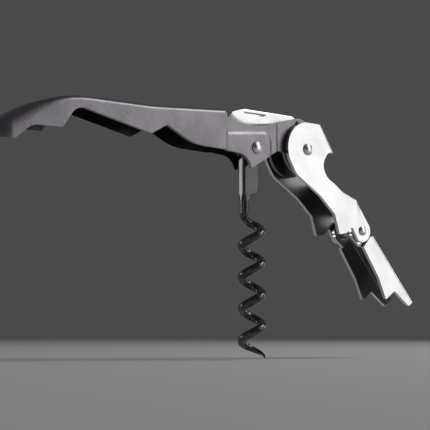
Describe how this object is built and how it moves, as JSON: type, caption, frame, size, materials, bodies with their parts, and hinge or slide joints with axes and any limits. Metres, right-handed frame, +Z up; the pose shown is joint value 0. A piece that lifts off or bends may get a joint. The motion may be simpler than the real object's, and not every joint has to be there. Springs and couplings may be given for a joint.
{
  "type": "lever corkscrew",
  "caption": "Folding lever corkscrew with a black channel handle, a coated worm, a two-step hinged lever with a cap lifter, and a foil knife.",
  "frame": {"origin": "on the worm's axis at the level where the worm enters a cork", "axes": "+X along the handle towards the lever, +Y across the handle, +Z up along the worm from its point to its shank"},
  "size_m": [0.1698, 0.0138, 0.0798],
  "materials": {
    "black_coating": "satin black coating on folded sheet steel",
    "worm_black": "smooth glossy black low-friction coating on steel wire",
    "polished_steel": "polished sheet steel with fine scratches",
    "plain_steel": "plain turned or stamped steel, inside the joints",
    "spring_steel": "tempered spring steel",
    "blade_steel": "ground and satin polished blade steel",
    "dark_steel": "blackened steel pin"
  },
  "bodies": {
    "worm": {"worm": "worm_black"},
    "handle": {"handle_shell": "black_coating", "worm_rivet": "polished_steel", "worm_spacer_front": "plain_steel", "worm_spacer_back": "plain_steel", "lever_sleeve": "plain_steel", "knife_rivet": "dark_steel", "knife_spacer_front": "plain_steel", "knife_spacer_back": "plain_steel"},
    "lever": {"upper_lever": "polished_steel", "lever_rivet": "polished_steel", "lever_washer_front": "plain_steel", "lever_washer_back": "plain_steel", "joint_rivet": "polished_steel", "joint_sleeve": "plain_steel", "boot_spring": "spring_steel"},
    "boot": {"boot_lever": "polished_steel"},
    "knife": {"knife_blade": "blade_steel"}
  },
  "joints": [
    {"name": "handle_pivot", "type": "hinge", "parent": "worm", "child": "handle", "pos_m": [-0.0018, 0, 0.0416], "axis": [0, 1, 0], "range_deg": [-93, 15]},
    {"name": "lever_pivot", "type": "hinge", "parent": "handle", "child": "lever", "pos_m": [0.0196, 0, 0.0428], "axis": [0, 1, 0], "range_deg": [-25, 30]},
    {"name": "boot_pivot", "type": "hinge", "parent": "lever", "child": "boot", "pos_m": [0.0454, 0, 0.0173], "axis": [0, 1, 0], "range_deg": [0, 30]},
    {"name": "knife_pivot", "type": "hinge", "parent": "handle", "child": "knife", "pos_m": [0.017, 0, 0.0511], "axis": [0, 1, 0], "range_deg": [0, 120]}
  ]
}
